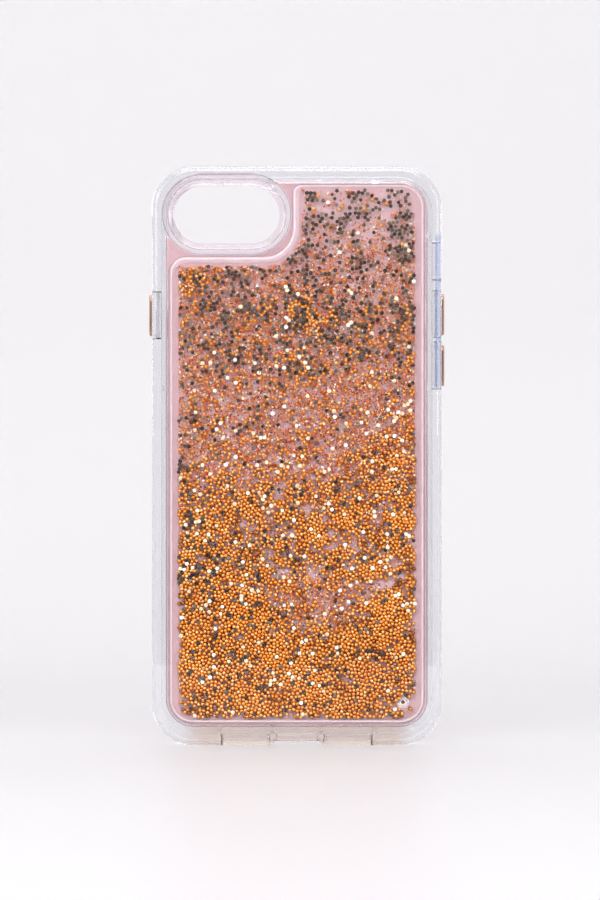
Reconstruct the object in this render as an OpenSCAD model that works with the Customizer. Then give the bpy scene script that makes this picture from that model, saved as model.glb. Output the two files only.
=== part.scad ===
// Clear two-layer phone case with a liquid reservoir of glitter in its back.
// It stands on its bottom edge: X is its width, Z its height, and the back with the
// reservoir faces -Y. Its parts are drawn lying with the back up, then stood up.

/* [Case] */
// Width across the side walls
case_w = 72; // [71.5:0.25:73]
// Height from the bottom edge to the top edge
case_h = 144; // [143.5:0.25:145.5]
// Depth from the raised rim of the back to the front lip
case_d = 12.6; // [12.4:0.1:13]
// Radius of the outline's corners
corner_r = 10.5; // [9.5:0.25:11]
// Radius of the rounded edge round the back
back_edge_r = 1.6; // [1.2:0.1:1.7]
// Radius of the rounded edge round the front
lip_edge_r = 1.3; // [0.8:0.1:1.4]
// Thickness of the hard shell's side walls
shell_wall = 1.1; // [1:0.05:1.2]
// Gap between the hard shell and the soft liner
layer_gap = 0.15; // [0.1:0.05:0.2]

/* [Phone space] */
// Width of the space for the phone
phone_space_w = 67.5; // [67.2:0.1:67.8]
// Height of the space for the phone
phone_space_h = 138.8; // [138.5:0.1:139.1]
// Depth of the space for the phone
phone_space_d = 7.2; // [7.1:0.05:7.3]
// Radius of the phone space's corners
phone_space_r = 9; // [8:0.25:9.5]
// How far the front lip reaches in over the phone
lip_reach = 1.1; // [0.8:0.1:1.4]
// Thickness of the front lip
lip_t = 1; // [0.9:0.1:1.2]
// How far the liner's back flange reaches in behind the phone
flange_reach = 2; // [1.5:0.1:2]
// Thickness of the liner's back flange
flange_t = 0.6; // [0.5:0.1:0.7]

/* [Reservoir] */
// Height of the rim above the back window
rim_proud = 0.4; // [0.3:0.1:0.5]
// Thickness of the back window
window_t = 1; // [0.9:0.1:1.1]
// Depth of the liquid between the two panels
chamber_t = 1.6; // [1.5:0.05:1.6]
// Width of the back window
window_w = 63.9; // [63.5:0.1:64.3]
// Border between the case's top edge and the back window
window_top = 4.4; // [4.3:0.1:4.6]
// Border between the case's bottom edge and the back window
window_bottom = 5.2; // [5:0.1:5.4]
// Radius of the window's corners
window_r = 6.4; // [6:0.1:6.8]
// Width of the liquid
liquid_w = 59.4; // [59:0.1:59.6]
// Border between the case's top edge and the liquid
liquid_top = 5.5; // [5.4:0.1:5.8]
// Border between the case's bottom edge and the liquid
liquid_bottom = 6.6; // [6.5:0.1:7]
// Radius of the liquid's outer corners
liquid_r = 4.8; // [4.2:0.1:5.2]
// Width of the welded wall round the liquid, beside the camera
weld_w = 2.2; // [2.1:0.05:2.25]
// Radius of the filling port in the inner panel
fill_port_r = 1.6; // [1.2:0.1:2]

/* [Camera window] */
// Distance of the window's centre from the case's middle
camera_x = -17.4; // [-17.8:0.1:-17.2]
// Distance of the window's centre from the case's top edge
camera_drop = 12.1; // [12:0.1:12.4]
// Length of the opening
camera_len = 26.2; // [25.8:0.1:26.6]
// Height of the opening
camera_high = 14.3; // [14:0.1:14.6]
// Width of the sloped face round the opening
camera_bevel = 1.9; // [1.5:0.1:2]
// Width of the flat band round the sloped face
camera_band = 1.1; // [1:0.1:1.2]

/* [Buttons] */
// Length of each button
button_len = 10.3; // [9.8:0.1:10.5]
// Width of each button
button_wide = 3.2; // [2.8:0.1:3.4]
// How far each button stands out
button_proud = 0.9; // [0.7:0.1:1]
// How far each button travels
button_travel = 0.4; // [0.3:0.05:0.4]
// Height of the power button's centre
power_z = 107; // [106:0.5:110]
// Height of the upper volume button's centre
volume_up_z = 107.3; // [107.2:0.1:107.6]
// Height of the lower volume button's centre
volume_down_z = 94.5; // [94.4:0.1:94.8]
// Height of the mute switch opening's centre
mute_z = 120.6; // [120:0.1:121]
// Length of the mute switch opening
mute_len = 10; // [9:0.5:10]
// Lowest point of the side notches
notch_low = 88.4; // [88:0.1:88.6]
// Highest point of the side notches
notch_high = 127.3; // [127:0.1:128]

/* [Bottom openings] */
// Width of the charging port's opening
port_w = 11; // [10:0.5:11]
// Width of each grille opening
grille_w = 12.4; // [11:0.2:12.6]
// Width of the web between the openings
web_w = 1.1; // [1:0.1:1.4]
// Depth of the openings from front to back
port_deep = 5.4; // [5:0.1:5.6]
// Width of the shallow recess round the port
recess_w = 13.9; // [13:0.1:14.5]
// Depth of the shallow recess
recess_deep = 1; // [0.8:0.1:1.1]

/* [Glitter] */
// Diameter of the copper beads
bead_d = 1; // [0.8:0.05:1]
// Diameter of the foil discs
disc_d = 1.1; // [0.9:0.1:1.2]
// Width of the fine flakes
flake_w = 0.7; // [0.5:0.05:0.7]
// Number of each kind in the sample groups
glitter_count = 72; // [24:12:96]

/* [Hidden] */
$fn = 64;
past = 1;           // how far a cutter runs past the face it opens
seat_gap = 0.05;    // gap round a bonded panel

// Levels through the depth, from the back (up) to the front (down)
back_face = case_d / 2;
window_top_face = back_face - rim_proud;
window_low_face = window_top_face - window_t;
panel_top_face = window_low_face - chamber_t;
flange_face = phone_space_d + lip_t - case_d / 2 + flange_t;
panel_low_face = flange_face + 0.1;
phone_back = flange_face - flange_t;
phone_front = phone_back - phone_space_d;
front_face = -case_d / 2;
shell_front = -4;
liner_band_face = shell_front - 0.1;
keys_level = (phone_back + phone_front) / 2;

// Sizes worked out from the driving dimensions
liner_out = shell_wall + layer_gap;
camera_y = case_h / 2 - camera_drop;
camera_end_r = camera_high / 2;
bevel_r = camera_end_r + camera_bevel;
surround_r = bevel_r + camera_band;
camera_span = camera_len - camera_high;
bevel_deep = 2.3;
liquid_left = -liquid_w / 2;
liquid_low = -case_h / 2 + liquid_bottom;
liquid_high = case_h / 2 - liquid_top;
notch_left = camera_x + camera_span / 2 + surround_r + 0.1 + weld_w;
notch_y = camera_y - surround_r - 0.1 - weld_w;
notch_corner_r = 7 + weld_w;
tinted_w = window_w + 1.4;
fill_port_x = 26.4;
fill_port_y = -61.2;
side_wall_in = (case_w - phone_space_w) / 2;
pocket_len = button_len + 1.7;
pocket_wide = button_wide + 1.4;
notch_level = keys_level + button_wide / 2 + 1.4;
bottom_notch_w = port_w + 2 * (grille_w + web_w + 0.8);
bottom_notch_level = keys_level + port_deep / 2 + 0.8;
pad_root = 0.3;     // how far the raised pads run into the front band
pad_sunk = 0.12;    // how far the liner's raised pads lie below the shell's face
key_gap = 0.2;
flange_gap = 0.25;
pad_flange_t = side_wall_in - liner_out - seat_gap - button_travel - 0.1;
cap_depth = 0.8;
golden = 0.6180339887;

// ---- Shared shapes ----

// Stands a shape drawn with the back up on the case's bottom edge
module stand_up() {
    translate([0, 0, case_h / 2])
        rotate([90, 0, 0])
            children();
}

// A quarter-round notch for the corner at the origin of the first quadrant
module corner_cut(r) {
    difference() {
        translate([-past, -past])
            square(r + past);
        translate([r, r])
            circle(r);
    }
}

// A flat panel outline with its own radius at each corner:
// lower left, lower right, upper right, upper left
module outline(x0, x1, y0, y1, radii) {
    places = [[x0, y0], [x1, y0], [x1, y1], [x0, y1]];
    difference() {
        translate([x0, y0])
            square([x1 - x0, y1 - y0]);
        for (i = [0:3])
            if (radii[i] > 0)
                translate(places[i])
                    rotate(90 * i)
                        corner_cut(radii[i]);
    }
}

// The case's outline, set in by a distance
module inset_outline(inset) {
    r = corner_r - inset;
    w = case_w / 2 - inset;
    h = case_h / 2 - inset;
    outline(-w, w, -h, h, [r, r, r, r]);
}

// A block of a flat outline between two levels
module slab(low, high) {
    translate([0, 0, low])
        linear_extrude(high - low)
            children();
}

// Carries a profile (distance in from the outline, level) round the case
module frame_sweep() {
    for (half_turn = [0, 180]) {
        rotate([0, 0, half_turn]) {
            side_run(case_w / 2, case_h - 2 * corner_r)
                children();
            corner_run(case_w / 2 - corner_r, case_h / 2 - corner_r)
                children();
        }
        rotate([0, 0, half_turn + 90]) {
            side_run(case_h / 2, case_w - 2 * corner_r)
                children();
            corner_run(case_h / 2 - corner_r, case_w / 2 - corner_r)
                children();
        }
    }
}

module side_run(out, length) {
    translate([out, length / 2, 0])
        rotate([90, 0, 0])
            linear_extrude(length)
                mirror([1, 0])
                    children();
}

module corner_run(x, y) {
    translate([x, y, 0])
        rotate_extrude(angle = 90)
            translate([corner_r, 0])
                mirror([1, 0])
                    children();
}

// A slot with round ends that runs along X
module slot_outline(span, r) {
    square([span, 2 * r], center = true);
    for (end = [-1, 1])
        translate([end * span / 2, 0])
            circle(r);
}

module camera_outline(r) {
    translate([camera_x, camera_y])
        slot_outline(camera_span, r);
}

// The liquid's outline, which steps round the camera window, grown by a margin
module liquid_outline(grow) {
    left = liquid_left - grow;
    right = -left;
    low = liquid_low - grow;
    high = liquid_high + grow;
    step_x = notch_left - grow;
    step_y = notch_y + grow;
    r = liquid_r + grow;
    fillet = notch_corner_r - grow;
    outline(left, right, low, step_y, [r, r, 0, 2.2 + grow]);
    outline(step_x, right, step_y - 1, high, [0, 0, r, 1.2 + grow]);
    translate([step_x, step_y])
        rotate(90)
            difference() {
                translate([-past, -past])
                    square(fillet + past);
                translate([fillet, fillet])
                    circle(fillet);
            }
}

// ---- Hard shell and reservoir ----

// A notch through one side wall of the hard shell, open to the front
module side_notch(side) {
    long = notch_high - notch_low;
    translate([side * case_w / 2, (notch_high + notch_low) / 2 - case_h / 2, 0])
        translate([-3 / 2, -long / 2, shell_front - past])
            cube([3, long, notch_level - shell_front + past]);
}

// The notch through the shell's bottom wall, open to the front
module bottom_notch() {
    translate([-bottom_notch_w / 2, -case_h / 2 - past, shell_front - past])
        cube([bottom_notch_w, past + 2, bottom_notch_level - shell_front + past]);
}

// The openings through the liner for the charging port and the two grilles
module bottom_openings() {
    grille_x = port_w / 2 + web_w + grille_w / 2;
    for (place = [[0, port_w], [-grille_x, grille_w], [grille_x, grille_w]])
        translate([place[0] - place[1] / 2, -case_h / 2 - past, keys_level - port_deep / 2])
            cube([place[1], past + 4, port_deep]);
}

// The shallow recess under the port, with sloped ends
module bottom_recess() {
    half = recess_w / 2;
    translate([0, -case_h / 2, -case_d])
        linear_extrude(2 * case_d)
            polygon([
                [-half - recess_deep, -past], [half + recess_deep, -past], [half, 0],
                [half - 1.5, recess_deep], [-half + 1.5, recess_deep], [-half, 0]
            ]);
}

// Cross-section of the shell's rim, rounded at the back edge
module shell_profile() {
    difference() {
        translate([0, shell_front])
            square([shell_wall + 1.9, back_face - shell_front]);
        translate([0, back_face])
            rotate(-90)
                corner_cut(back_edge_r);
    }
}

module outer_shell() {
    window_low = -case_h / 2 + window_bottom;
    window_high = case_h / 2 - window_top;
    tint_grow = (tinted_w - window_w) / 2;
    color([0.93, 0.95, 0.98, 0.35])
        stand_up()
            difference() {
                union() {
                    frame_sweep()
                        shell_profile();
                    slab(panel_low_face, back_face)
                        inset_outline(2);
                }
                slab(shell_front - past, panel_low_face)
                    inset_outline(shell_wall);
                slab(panel_top_face, back_face + past)
                    window_shape(0);
                slab(panel_low_face - past, panel_top_face)
                    window_shape(tint_grow);
                slab(panel_low_face - past, back_face + past)
                    camera_outline(surround_r);
                for (side = [-1, 1])
                    side_notch(side);
                bottom_notch();
                bottom_recess();
            }
}

// The back window's outline, grown by a margin
module window_shape(grow) {
    half = window_w / 2 + grow;
    low = -case_h / 2 + window_bottom - grow;
    high = case_h / 2 - window_top + grow;
    r = window_r + grow;
    outline(-half, half, low, high, [r, r, r, r]);
}

module back_window() {
    color([0.9, 0.92, 0.95, 0.25])
        stand_up()
            slab(window_low_face, window_top_face)
                difference() {
                    window_shape(-seat_gap);
                    camera_outline(surround_r + seat_gap);
                }
}

module reservoir_wall() {
    color([0.98, 0.95, 0.95, 0.6])
        stand_up()
            slab(panel_top_face, window_low_face)
                difference() {
                    window_shape(-seat_gap);
                    liquid_outline(0);
                    camera_outline(surround_r + seat_gap);
                }
}

module inner_panel() {
    color([0.86, 0.7, 0.73])
        stand_up()
            slab(panel_low_face, panel_top_face)
                difference() {
                    window_shape((tinted_w - window_w) / 2 - seat_gap);
                    camera_outline(surround_r + seat_gap);
                    translate([fill_port_x, fill_port_y])
                        circle(fill_port_r);
                }
}

// The ring that lines the camera window, with a sloped face towards the back
module camera_surround() {
    color([0.95, 0.93, 0.95, 0.5])
        stand_up()
            difference() {
                slab(panel_low_face, back_face - 0.1)
                    camera_outline(surround_r - seat_gap);
                slab(panel_low_face - past, back_face + past)
                    camera_outline(camera_end_r);
                camera_slope();
            }
}

module camera_slope() {
    low = back_face - 0.1 - bevel_deep;
    translate([camera_x, camera_y, 0]) {
        for (end = [-1, 1])
            translate([end * camera_span / 2, 0, low])
                cylinder(h = bevel_deep, r1 = camera_end_r, r2 = bevel_r);
        translate([-camera_span / 2, 0, low])
            rotate([90, 0, 90])
                linear_extrude(camera_span)
                    polygon([
                        [-camera_end_r, 0], [camera_end_r, 0],
                        [bevel_r, bevel_deep], [-bevel_r, bevel_deep]
                    ]);
    }
}

module liquid_fill() {
    color([0.98, 0.9, 0.85, 0.25])
        stand_up()
            difference() {
                slab(panel_top_face + 0.02, window_low_face - 0.02)
                    liquid_outline(-0.02);
                translate([fill_port_x, fill_port_y, panel_top_face - past])
                    cylinder(h = past + 0.35, r = fill_port_r + 0.05);
            }
}

// The plug that closes the filling port once the liquid is in
module fill_plug() {
    color([0.9, 0.85, 0.86])
        stand_up()
            translate([fill_port_x, fill_port_y, panel_low_face]) {
                cylinder(h = panel_top_face - panel_low_face, r = fill_port_r + 0.02);
                cylinder(h = panel_top_face - panel_low_face + 0.3, r = fill_port_r - 0.3);
            }
}

// ---- Glitter: a sample of each kind, at its real size ----

// Spreads children evenly over a band of the liquid, on one level
module scatter(low, high, level, seed) {
    side = liquid_w / 2 - 2.5;
    for (i = [0:glitter_count - 1]) {
        along = ((i + seed) * golden) % 1;
        up = (i + 0.5) / glitter_count;
        translate([side * (2 * along - 1), low + (high - low) * up, level])
            children();
    }
}

module copper_beads() {
    color([0.85, 0.45, 0.15])
        stand_up()
            scatter(-63, -20, panel_top_face + bead_d / 2 + 0.05, 1)
                sphere(d = bead_d);
}

module bronze_discs() {
    color([0.3, 0.25, 0.22])
        stand_up()
            scatter(-60, 45, window_low_face - 0.25, 2)
                cylinder(h = 0.1, d = disc_d);
}

module gold_discs() {
    color([0.98, 0.9, 0.72])
        stand_up()
            scatter(-62, 30, window_low_face - 0.4, 3)
                cylinder(h = 0.1, d = disc_d);
}

module fine_flakes() {
    color([0.9, 0.5, 0.25])
        stand_up()
            scatter(-15, 44, panel_top_face + 0.25, 4)
                cube([flake_w, flake_w, 0.08], center = true);
}

// ---- Soft liner ----

// Cross-section of the liner's front band, rounded at the front edge
module liner_profile() {
    difference() {
        translate([0, front_face])
            square([side_wall_in + 0.4, liner_band_face - front_face]);
        translate([0, front_face])
            corner_cut(lip_edge_r);
    }
}

// The phone space's outline, grown by a margin
module phone_outline(grow) {
    w = phone_space_w / 2 + grow;
    h = phone_space_h / 2 + grow;
    r = phone_space_r + grow;
    outline(-w, w, -h, h, [r, r, r, r]);
}

// A raised pad of the liner that fills one side notch of the shell
module notch_pad(side) {
    low = notch_low + layer_gap - case_h / 2;
    high = notch_high - layer_gap - case_h / 2;
    inner = case_w / 2 - liner_out - 0.3;
    outer = case_w / 2 - pad_sunk;
    x0 = side > 0 ? inner : -outer;
    translate([x0, low, liner_band_face - pad_root])
        cube([outer - inner, high - low, notch_level - layer_gap - liner_band_face + pad_root]);
}

// The raised pad that fills the notch in the shell's bottom wall
module bottom_pad() {
    w = bottom_notch_w - 2 * layer_gap;
    low = -case_h / 2 + pad_sunk;
    level = bottom_notch_level - layer_gap;
    translate([-w / 2, low, liner_band_face - pad_root])
        cube([w, liner_out + 0.3 - pad_sunk, level - liner_band_face + pad_root]);
}

// The window and the pocket of one button, on the side of the case
module button_space(side, z) {
    translate([side * case_w / 2, z - case_h / 2, keys_level])
        rotate([0, 0, side > 0 ? 0 : 180]) {
            translate([-5, 0, 0])
                across_wall(10)
                    slot_outline(button_len - button_wide, button_wide / 2 + key_gap);
            translate([-side_wall_in - past, -pocket_len / 2, -pocket_wide / 2])
                cube([side_wall_in + past - liner_out, pocket_len, pocket_wide]);
        }
}

// Turns an outline to face out of a side wall, with its length up the case
module across_wall(depth) {
    rotate([0, 90, 0])
        rotate([0, 0, 90])
            linear_extrude(depth)
                children();
}

module mute_opening() {
    translate([case_w / 2 - 5, mute_z - mute_len / 2 - case_h / 2, keys_level - port_deep / 2])
        cube([10, mute_len, port_deep]);
}

module soft_liner() {
    color([0.9, 0.94, 1, 0.4])
        stand_up()
            difference() {
                union() {
                    slab(front_face, liner_band_face)
                        inset_outline(side_wall_in);
                    frame_sweep()
                        liner_profile();
                    slab(liner_band_face - 0.5, flange_face)
                        inset_outline(liner_out);
                    for (side = [-1, 1])
                        notch_pad(side);
                    bottom_pad();
                }
                slab(phone_front, phone_back)
                    phone_outline(0);
                slab(front_face - past, phone_front + past)
                    phone_outline(-lip_reach);
                slab(phone_back - past, flange_face + past)
                    phone_outline(-flange_reach);
                button_space(-1, power_z);
                button_space(1, volume_up_z);
                button_space(1, volume_down_z);
                mute_opening();
                bottom_openings();
                bottom_recess();
            }
}

// ---- Buttons ----

// Places a button at the outer face of one side wall, with +X pointing outwards
module at_button(side, z) {
    stand_up()
        translate([side * case_w / 2, z - case_h / 2, keys_level])
            rotate([0, 0, side > 0 ? 0 : 180])
                children();
}

// The metal cap, with a smaller step at its outer face
module button_cap(side, z) {
    step = 0.25;
    color([0.72, 0.48, 0.34])
        at_button(side, z) {
            translate([-cap_depth, 0, 0])
                across_wall(cap_depth + button_proud - step)
                    slot_outline(button_len - button_wide, button_wide / 2);
            translate([button_proud - step, 0, 0])
                across_wall(step)
                    slot_outline(button_len - button_wide, button_wide / 2 - step);
        }
}

// The soft pad behind a cap, whose flange keeps the button in the liner
module button_pad(side, z) {
    flange_x = liner_out + seat_gap;
    flange_len = pocket_len - 2 * flange_gap;
    flange_wide = pocket_wide - 2 * flange_gap;
    color([0.88, 0.9, 0.95, 0.6])
        at_button(side, z) {
            translate([-flange_x - 0.1, 0, 0])
                across_wall(flange_x + 0.1 - cap_depth)
                    slot_outline(button_len - button_wide, button_wide / 2);
            translate([-flange_x - pad_flange_t / 2, 0, 0])
                cube([pad_flange_t, flange_len, flange_wide], center = true);
        }
}

module power_button_cap() { button_cap(-1, power_z); }
module power_button_pad() { button_pad(-1, power_z); }
module volume_up_cap() { button_cap(1, volume_up_z); }
module volume_up_pad() { button_pad(1, volume_up_z); }
module volume_down_cap() { button_cap(1, volume_down_z); }
module volume_down_pad() { button_pad(1, volume_down_z); }

outer_shell();
back_window();
reservoir_wall();
inner_panel();
camera_surround();
liquid_fill();
fill_plug();
copper_beads();
bronze_discs();
gold_discs();
fine_flakes();
soft_liner();
power_button_cap();
power_button_pad();
volume_up_cap();
volume_up_pad();
volume_down_cap();
volume_down_pad();
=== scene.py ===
import math

import bmesh
import bpy
import numpy as np
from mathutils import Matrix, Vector, kdtree, noise


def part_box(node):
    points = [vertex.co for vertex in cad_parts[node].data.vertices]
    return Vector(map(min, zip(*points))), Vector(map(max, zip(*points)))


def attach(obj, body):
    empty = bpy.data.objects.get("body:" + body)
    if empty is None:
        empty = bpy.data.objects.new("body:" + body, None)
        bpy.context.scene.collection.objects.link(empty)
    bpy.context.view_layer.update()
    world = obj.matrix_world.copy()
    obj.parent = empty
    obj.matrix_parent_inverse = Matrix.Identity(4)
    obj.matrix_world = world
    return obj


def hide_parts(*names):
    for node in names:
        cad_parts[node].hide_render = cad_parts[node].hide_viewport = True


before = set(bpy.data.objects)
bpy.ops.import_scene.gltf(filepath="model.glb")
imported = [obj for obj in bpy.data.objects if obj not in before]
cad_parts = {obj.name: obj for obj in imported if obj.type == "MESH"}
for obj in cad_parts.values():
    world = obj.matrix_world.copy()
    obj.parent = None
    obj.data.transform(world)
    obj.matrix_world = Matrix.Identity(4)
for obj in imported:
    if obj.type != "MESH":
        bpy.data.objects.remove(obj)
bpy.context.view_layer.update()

# The clear case stands on its bottom edge, with its glitter back towards -Y. Shapes are worked
# out in millimetres, as (x across, y through the depth, z up), and put into Blender in metres.
MM = 0.001


def node_box(node):
    """A CAD node's lowest and highest corner, in millimetres."""
    low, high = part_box(node)
    return low / MM, high / MM


# ---- Sizes ----

shell_low, shell_high = node_box("outer_shell")
liner_low, liner_high = node_box("soft_liner")
window_low, window_high = node_box("back_window")
wall_low, wall_high = node_box("reservoir_wall")
panel_low, panel_high = node_box("inner_panel")
liquid_low, liquid_high = node_box("liquid_fill")
surround_low, surround_high = node_box("camera_surround")
plug_low, plug_high = node_box("fill_plug")

HALF_W = shell_high.x
HEIGHT = shell_high.z
BACK = shell_low.y
SHELL_FRONT = shell_high.y
FRONT = liner_high.y
BAND_FRONT = SHELL_FRONT + 0.1      # level of the liner's step over the shell's edge

CORNER_R = 10.5
BACK_EDGE_R = 1.6
LIP_EDGE_R = 1.3
SHELL_WALL = 1.1
LAYER_GAP = 0.15
LINER_OUT = SHELL_WALL + LAYER_GAP
PANEL_STEP = panel_high.x - window_high.x   # how much wider the tinted panel is than the window
SEAT_GAP = 0.05
CAMERA_GAP = 0.1        # what the window layers keep clear of the camera surround

PHONE_HALF_W = 33.75
PHONE_HALF_H = 69.4
PHONE_R = 9
PHONE_BACK = -1.9       # levels of the phone space through the depth
PHONE_FRONT = 5.3
LIP_REACH = 1.1
FLANGE_REACH = 2
PAD_SUNK = 0.12

WINDOW_R = 6.4
LIQUID_R = 4.8
WELD_W = 2.2
STEP_R = 9.2            # radii of the camera step's inner corner and of its two ends
STEP_TOP_R = 1.2
STEP_SIDE_R = 2.2

NOTCH_LOW = 88.4
NOTCH_HIGH = 127.3
NOTCH_ROOT = -1.3       # level of the side notches' ends
BOTTOM_NOTCH_HALF = 19.8
BOTTOM_NOTCH_ROOT = -1.8
RECESS_HALF = 6.95
RECESS_SLOPE = 1.5
RECESS_DEEP = 0.85

PORT_HALF = 5.5
GRILLE_W = 12.4
WEB_W = 1.1
KEYS_Y = 1.7
PORT_DEEP = 5.4
PORT_R = 1.2
MUTE_Z = 120.6
MUTE_LEN = 10

BUTTON_LEN = 10.3
BUTTON_WIDE = 3.2

CAMERA_X = (surround_low.x + surround_high.x) / 2
CAMERA_Z = (surround_low.z + surround_high.z) / 2
SURROUND_R = (surround_high.z - surround_low.z) / 2
CAMERA_SPAN = surround_high.x - surround_low.x - 2 * SURROUND_R
CAMERA_END_R = 7.15
CAMERA_BAND = 1.1


# ---- Mesh helpers ----

def new_piece(name, mesh, *materials):
    piece = bpy.data.objects.new(name, mesh)
    bpy.context.scene.collection.objects.link(piece)
    for material in materials:
        mesh.materials.append(material)
    return piece


def mesh_of(name, points, faces):
    """A mesh from points in millimetres."""
    mesh = bpy.data.meshes.new(name)
    mesh.from_pydata([(x * MM, y * MM, z * MM) for x, y, z in points], [], faces)
    return mesh


def turn_outwards(mesh):
    """Welds double points and turns every face outwards."""
    work = bmesh.new()
    work.from_mesh(mesh)
    bmesh.ops.remove_doubles(work, verts=work.verts, dist=0.0005 * MM)
    bmesh.ops.recalc_face_normals(work, faces=work.faces)
    work.to_mesh(mesh)
    work.free()


def smooth(piece, angle=38):
    """Smooth shading with crisp corners, led by the large faces."""
    piece.data.shade_smooth()
    piece.data.set_sharp_from_angle(angle=math.radians(angle))
    normals = piece.modifiers.new("normals", "WEIGHTED_NORMAL")
    normals.keep_sharp = True
    normals.weight = 80
    return piece


def loft(name, loops, closed, *materials):
    """Skins a row of loops that have the same number of points. Closed joins the last loop to
    the first; otherwise the first and the last loop are filled."""
    count = len(loops[0])
    points = [p for loop in loops for p in loop]
    faces = []
    rows = len(loops) if closed else len(loops) - 1
    for row in range(rows):
        a, b = row * count, (row + 1) % len(loops) * count
        for i in range(count):
            j = (i + 1) % count
            faces.append((a + i, a + j, b + j, b + i))
    if not closed:
        faces.append(tuple(range(count)))
        faces.append(tuple(range((len(loops) - 1) * count, len(loops) * count)))
    mesh = mesh_of(name, points, faces)
    turn_outwards(mesh)
    return new_piece(name, mesh, *materials)


def bend(x, y, r, start, turn, steps=4):
    """Points along an arc about (x, y), from a start angle in degrees through a turn."""
    angles = [math.radians(start + turn * k / steps) for k in range(steps + 1)]
    return [(x + r * math.cos(a), y + r * math.sin(a)) for a in angles]


def applied(piece):
    """Turns the piece's modifiers into plain mesh."""
    seen = piece.evaluated_get(bpy.context.evaluated_depsgraph_get())
    mesh = bpy.data.meshes.new_from_object(seen)
    piece.modifiers.clear()
    piece.data = mesh
    return piece


def combine(operation, piece, *others):
    """Takes the other pieces out of a piece, or joins them to it, and removes them."""
    for other in others:
        work = piece.modifiers.new("combine", "BOOLEAN")
        work.operation = operation
        work.solver = "EXACT"
        work.object = other
    applied(piece)
    for other in others:
        bpy.data.objects.remove(other)
    return piece


def cut(piece, *cutters):
    return combine("DIFFERENCE", piece, *cutters)


def prism(outline, low, high, axis="y"):
    """A cutter: a flat outline, carried from low to high along an axis."""
    place = "xyz".index(axis)
    loops = [[(*p[:place], level, *p[place:]) for p in outline] for level in (low, high)]
    return loft("cutter", loops, False)


# ---- Outlines ----

def filleted(corners, grow=0.0, steps=10):
    """The outline through (x, z, radius) corners, given anticlockwise, with each corner rounded,
    grown by a distance. A corner that turns inwards gets the opposite change of radius."""
    points = []
    for i, (x, z, r) in enumerate(corners):
        here = Vector((x, z))
        back = Vector(corners[i - 1][:2])
        ahead = Vector(corners[(i + 1) % len(corners)][:2])
        along_in, along_out = (here - back).normalized(), (ahead - here).normalized()
        turn = along_in.x * along_out.y - along_in.y * along_out.x
        side = 1 if turn > 0 else -1
        radius = r + side * grow
        out_in = Vector((along_in.y, -along_in.x))
        out_out = Vector((along_out.y, -along_out.x))
        centre = here - side * r * (out_in + out_out)
        first = math.atan2(side * out_in.y, side * out_in.x)
        for k in range(steps + 1):
            a = first + side * math.radians(90) * k / steps
            points.append((centre.x + radius * math.cos(a), centre.y + radius * math.sin(a)))
    return points


def slot_outline(x, z, span, r, steps=20, upright=False):
    """A slot with round ends about (x, z), anticlockwise."""
    points = []
    for side in (1, -1):
        for k in range(steps + 1):
            a = math.radians(-90 + 180 * k / steps) + (0 if side > 0 else math.pi)
            points.append((side * span / 2 + r * math.cos(a), r * math.sin(a)))
    if upright:
        points = [(-q, p) for p, q in points]
    return [(x + p, z + q) for p, q in points]


class Frame:
    """A rounded rectangle that can be drawn at any distance in from its edge."""

    def __init__(self, half_w, low, high, radius):
        self.reach_x, self.reach_z = half_w - radius, (high - low) / 2 - radius
        self.middle, self.radius = (low + high) / 2, radius

    def at(self, station, inset):
        side_x, side_z, out_x, out_z = station
        r = self.radius - inset
        return (self.reach_x * side_x + r * out_x, self.middle + self.reach_z * side_z + r * out_z)


case_frame = Frame(HALF_W, 0, HEIGHT, CORNER_R)
window_frame = Frame(
    window_high.x + SEAT_GAP, window_low.z - SEAT_GAP, window_high.z + SEAT_GAP, WINDOW_R)
phone_frame = Frame(PHONE_HALF_W, HEIGHT / 2 - PHONE_HALF_H, HEIGHT / 2 + PHONE_HALF_H, PHONE_R)

NOTCH_DRAFT = 0.3
NOTCH_MOUTH_R = 0.5
NOTCH_ROOT_R = 0.8


def notch_curve(edge, inward, root, mouth):
    """How the end of a wall drops at one side of a notch: (place along the wall, level) points
    from outside the notch to inside it, rounded at the mouth and at the root."""
    drop = 1 if root > mouth else -1
    quarter = [[math.radians(90 * k / steps) for k in range(steps + 1)] for steps in (5, 6)]
    points = [
        (edge - inward * NOTCH_MOUTH_R * (1 - math.sin(a)),
         mouth + drop * NOTCH_MOUTH_R * (1 - math.cos(a))) for a in quarter[0]]
    points += [
        (edge + inward * (NOTCH_DRAFT + NOTCH_ROOT_R * (1 - math.cos(a))),
         root - drop * NOTCH_ROOT_R * (1 - math.sin(a))) for a in quarter[1]]
    return points


def notch_levels(low, high, root, mouth, gap):
    """The level of a wall's end along a side with one notch, as rising places and their levels.
    The notch is made smaller by a gap all round."""
    first = notch_curve(low + gap, 1, root + gap, mouth)
    last = notch_curve(high - gap, -1, root + gap, mouth)[::-1]
    return np.array(first + last)


notches = (
    (NOTCH_LOW, NOTCH_HIGH, NOTCH_ROOT),
    (-BOTTOM_NOTCH_HALF, BOTTOM_NOTCH_HALF, BOTTOM_NOTCH_ROOT),
)
side_end, bottom_end = (notch_levels(*notch, SHELL_FRONT, 0) for notch in notches)
side_band, bottom_band = (notch_levels(*notch, BAND_FRONT, LAYER_GAP) for notch in notches)


def spaced(low, high, step, extra=()):
    """Even places from low to high, with the extra ones among them and none too close."""
    wanted = sorted([*np.linspace(low, high, round((high - low) / step) + 1), *extra])
    kept = [wanted[0]]
    for place in wanted[1:]:
        if place - kept[-1] > 0.04:
            kept.append(place)
    kept[-1] = high
    return kept


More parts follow.
